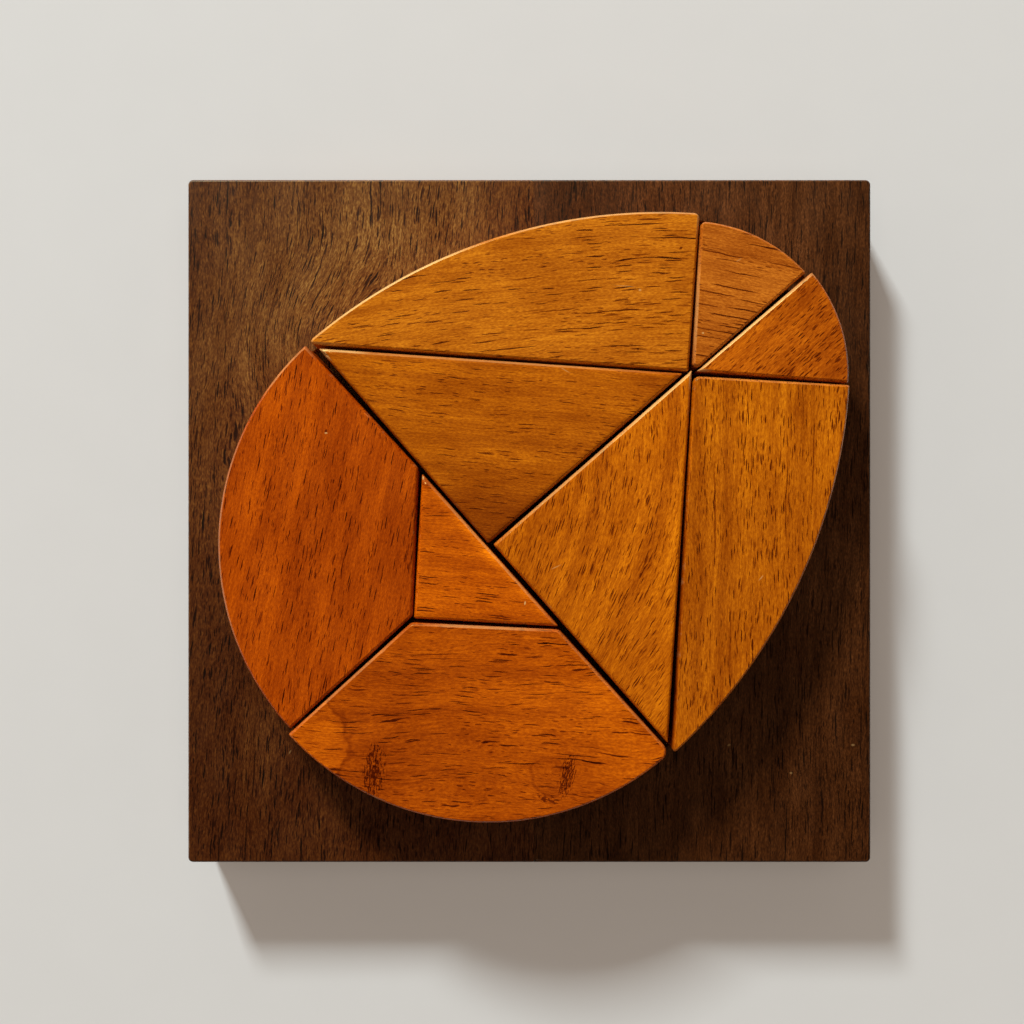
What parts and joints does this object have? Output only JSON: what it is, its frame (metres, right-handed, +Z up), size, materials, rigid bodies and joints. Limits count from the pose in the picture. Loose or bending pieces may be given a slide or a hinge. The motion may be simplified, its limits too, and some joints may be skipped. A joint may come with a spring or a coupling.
{
  "type": "egg tangram puzzle",
  "caption": "Wooden dissection puzzle: flat blocks with straight and curved sides close into an egg that lies in a shallow recess of a square board.",
  "frame": {"origin": "under the middle of the board, on the face that it rests on", "axes": "+Z up out of the board, +Y along the planks' grain towards the picture's top edge, +X to the picture's right"},
  "size_m": [0.14, 0.14, 0.0271],
  "materials": {
    "dark_board": "dark walnut-brown stained open-grained hardwood, satin, grain along Y",
    "amber_wood": "yellow-orange stained open-grained hardwood with dark pores, satin lacquer, worn rims",
    "honey_brown_wood": "brown-orange stained fine-grained hardwood, satin lacquer, worn rims",
    "russet_wood": "red-orange stained open-grained hardwood with dark pores, satin lacquer, worn rims"
  },
  "bodies": {
    "board": {"board_left_plank": "dark_board", "board_right_plank": "dark_board"},
    "left_flank": {"left_flank": "amber_wood"},
    "right_flank": {"right_flank": "amber_wood"},
    "left_tip_sector": {"left_tip_sector": "amber_wood"},
    "right_tip_sector": {"right_tip_sector": "russet_wood"},
    "left_large_triangle": {"left_large_triangle": "honey_brown_wood"},
    "right_large_triangle": {"right_large_triangle": "amber_wood"},
    "left_base": {"left_base": "russet_wood"},
    "right_base": {"right_base": "russet_wood"},
    "small_triangle": {"small_triangle": "russet_wood"}
  },
  "joints": [
    {"name": "left_flank_lift", "type": "slide", "parent": "board", "child": "left_flank", "axis": [0, 0, 1], "range_m": [0, 0.03]},
    {"name": "right_flank_lift", "type": "slide", "parent": "board", "child": "right_flank", "axis": [0, 0, 1], "range_m": [0, 0.03]},
    {"name": "left_tip_sector_lift", "type": "slide", "parent": "board", "child": "left_tip_sector", "axis": [0, 0, 1], "range_m": [0, 0.03]},
    {"name": "right_tip_sector_lift", "type": "slide", "parent": "board", "child": "right_tip_sector", "axis": [0, 0, 1], "range_m": [0, 0.03]},
    {"name": "left_large_triangle_lift", "type": "slide", "parent": "board", "child": "left_large_triangle", "axis": [0, 0, 1], "range_m": [0, 0.03]},
    {"name": "right_large_triangle_lift", "type": "slide", "parent": "board", "child": "right_large_triangle", "axis": [0, 0, 1], "range_m": [0, 0.03]},
    {"name": "left_base_lift", "type": "slide", "parent": "board", "child": "left_base", "axis": [0, 0, 1], "range_m": [0, 0.03]},
    {"name": "right_base_lift", "type": "slide", "parent": "board", "child": "right_base", "axis": [0, 0, 1], "range_m": [0, 0.03]},
    {"name": "small_triangle_lift", "type": "slide", "parent": "board", "child": "small_triangle", "axis": [0, 0, 1], "range_m": [0, 0.03]}
  ]
}
